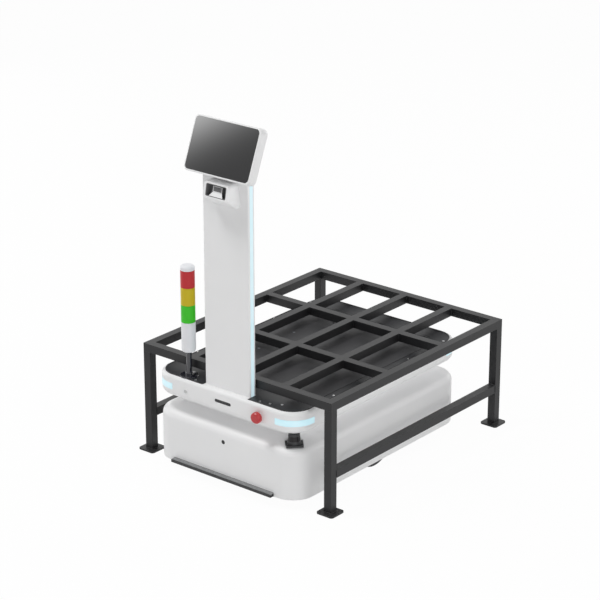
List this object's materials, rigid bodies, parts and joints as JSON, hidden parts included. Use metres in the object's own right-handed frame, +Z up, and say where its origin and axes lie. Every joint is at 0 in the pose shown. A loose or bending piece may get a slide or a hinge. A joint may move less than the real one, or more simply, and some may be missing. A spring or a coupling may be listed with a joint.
{
  "type": "autonomous mobile robot with load rack",
  "caption": "Low lifting mobile robot with a display column and signal tower, standing under its square-tube load rack.",
  "frame": {"origin": "on the floor, in the middle of the whole part's box", "axes": "+Z up, -Y to the front with the display, +X to the right seen from the front"},
  "size_m": [0.887, 1.0978, 1.3036],
  "materials": {
    "white_shell": "satin moulded shell",
    "dark_steel": "fine textured powder coat",
    "deck_metal": "satin powder coat",
    "frame_metal": "satin paint",
    "black_metal": "gloss paint",
    "black_plastic": "fine grain",
    "scanner_window": "polished",
    "screen_glass": "polished, printed black behind",
    "display": "satin",
    "strip_light": "frosted, lit from inside",
    "tower_shell": "satin",
    "lens_green": "polished",
    "lens_amber": "polished",
    "lens_red": "polished",
    "red_button": "satin",
    "aluminium": "satin",
    "bright_steel": "ground",
    "bronze": "machined",
    "rubber": "matt",
    "tyre": "matt",
    "battery_case": "fine grain"
  },
  "bodies": {
    "robot": {"chassis_frame": "frame_metal", "lower_shell": "white_shell", "upper_shell": "white_shell", "deck_panel": "deck_metal", "deck_screws": "bright_steel", "corner_lights": "strip_light", "button_collars": "white_shell", "front_sensors": "black_plastic", "bumper_rail": "aluminium", "bumper_rubber": "rubber", "scanner_housings": "black_plastic", "scanner_windows": "scanner_window", "column_frame": "frame_metal", "column_front_shell": "white_shell", "column_back_cover": "white_shell", "column_light_strips": "strip_light", "screen_glass": "screen_glass", "screen_front_frame": "white_shell", "screen_rear_housing": "white_shell", "display_module": "display", "camera_pod_shell": "white_shell", "camera_pod_bezel": "black_plastic", "pod_camera": "black_plastic", "tower_stand": "black_metal", "tower_body": "tower_shell", "tower_green_lens": "lens_green", "tower_amber_lens": "lens_amber", "tower_red_lens": "lens_red", "tower_cap": "tower_shell", "drive_gearmotors": "frame_metal", "caster_plates": "bright_steel", "lift_motor": "frame_metal", "lift_guides": "bright_steel", "battery_pack": "battery_case", "control_boxes": "aluminium", "charge_port": "black_plastic"},
    "lift_platform": {"lift_plate": "deck_metal", "lift_carriage": "frame_metal", "lift_nut": "bronze"},
    "lift_spindle": {"lift_screw": "bright_steel"},
    "rack": {"rack_legs": "dark_steel", "rack_side_rails": "dark_steel", "rack_top_beams": "dark_steel", "rack_grid_beams": "dark_steel"},
    "wheel_left": {"drive_hub_left": "aluminium", "drive_tyre_left": "tyre"},
    "wheel_right": {"drive_hub_right": "aluminium", "drive_tyre_right": "tyre"},
    "stop_button": {"estop_button": "red_button"},
    "start_button": {"power_button": "white_shell"},
    "rotor_front": {"scanner_rotor_front": "black_plastic"},
    "rotor_rear": {"scanner_rotor_rear": "black_plastic"},
    "swivel_1": {"caster_fork_1": "bright_steel"},
    "roller_1": {"caster_wheel_1": "tyre"},
    "swivel_2": {"caster_fork_2": "bright_steel"},
    "roller_2": {"caster_wheel_2": "tyre"},
    "swivel_3": {"caster_fork_3": "bright_steel"},
    "roller_3": {"caster_wheel_3": "tyre"},
    "swivel_4": {"caster_fork_4": "bright_steel"},
    "roller_4": {"caster_wheel_4": "tyre"}
  },
  "joints": [
    {"name": "lift", "type": "slide", "parent": "robot", "child": "lift_platform", "axis": [0, 0, 1], "range_m": [0, 0.06]},
    {"name": "lift_screw_turn", "type": "hinge", "parent": "robot", "child": "lift_spindle", "pos_m": [0, -0.0381, 0.2], "axis": [0, 0, 1], "range_deg": [0, 2160]},
    {"name": "rack_seat", "type": "slide", "parent": "lift_platform", "child": "rack", "axis": [0, 0, 1], "range_m": [-0.0247, 0]},
    {"name": "stop_press", "type": "slide", "parent": "robot", "child": "stop_button", "axis": [0, 1, 0], "range_m": [0, 0.005], "stiffness_N_per_m": 800, "springref_m": -0.002},
    {"name": "start_press", "type": "slide", "parent": "robot", "child": "start_button", "axis": [0, 1, 0], "range_m": [0, 0.0015], "stiffness_N_per_m": 800, "springref_m": -0.001},
    {"name": "drive_left", "type": "hinge", "parent": "robot", "child": "wheel_left", "pos_m": [-0.2775, -0.0509, 0.1], "axis": [1, 0, 0], "continuous": true},
    {"name": "drive_right", "type": "hinge", "parent": "robot", "child": "wheel_right", "pos_m": [0.2775, -0.0509, 0.1], "axis": [1, 0, 0], "continuous": true},
    {"name": "scan_front", "type": "hinge", "parent": "robot", "child": "rotor_front", "pos_m": [0.26822, -0.46312, 0.245], "axis": [0, 0, 1], "continuous": true},
    {"name": "scan_rear", "type": "hinge", "parent": "robot", "child": "rotor_rear", "pos_m": [-0.26822, 0.36132, 0.245], "axis": [0, 0, 1], "continuous": true},
    {"name": "swivel_1_turn", "type": "hinge", "parent": "robot", "child": "swivel_1", "pos_m": [-0.213, -0.4059, 0.1], "axis": [0, 0, 1], "continuous": true},
    {"name": "roller_1_turn", "type": "hinge", "parent": "swivel_1", "child": "roller_1", "pos_m": [-0.213, -0.3779, 0.0375], "axis": [1, 0, 0], "continuous": true},
    {"name": "swivel_2_turn", "type": "hinge", "parent": "robot", "child": "swivel_2", "pos_m": [0.213, -0.4059, 0.1], "axis": [0, 0, 1], "continuous": true},
    {"name": "roller_2_turn", "type": "hinge", "parent": "swivel_2", "child": "roller_2", "pos_m": [0.213, -0.3779, 0.0375], "axis": [1, 0, 0], "continuous": true},
    {"name": "swivel_3_turn", "type": "hinge", "parent": "robot", "child": "swivel_3", "pos_m": [-0.213, 0.3041, 0.1], "axis": [0, 0, 1], "continuous": true},
    {"name": "roller_3_turn", "type": "hinge", "parent": "swivel_3", "child": "roller_3", "pos_m": [-0.213, 0.3321, 0.0375], "axis": [1, 0, 0], "continuous": true},
    {"name": "swivel_4_turn", "type": "hinge", "parent": "robot", "child": "swivel_4", "pos_m": [0.213, 0.3041, 0.1], "axis": [0, 0, 1], "continuous": true},
    {"name": "roller_4_turn", "type": "hinge", "parent": "swivel_4", "child": "roller_4", "pos_m": [0.213, 0.3321, 0.0375], "axis": [1, 0, 0], "continuous": true}
  ],
  "couplings": [
    {"joint": "lift_screw_turn", "follows": "lift", "rad_per_m": 628.32},
    {"joint": "rack_seat", "follows": "lift", "ratio": -0.41167}
  ]
}
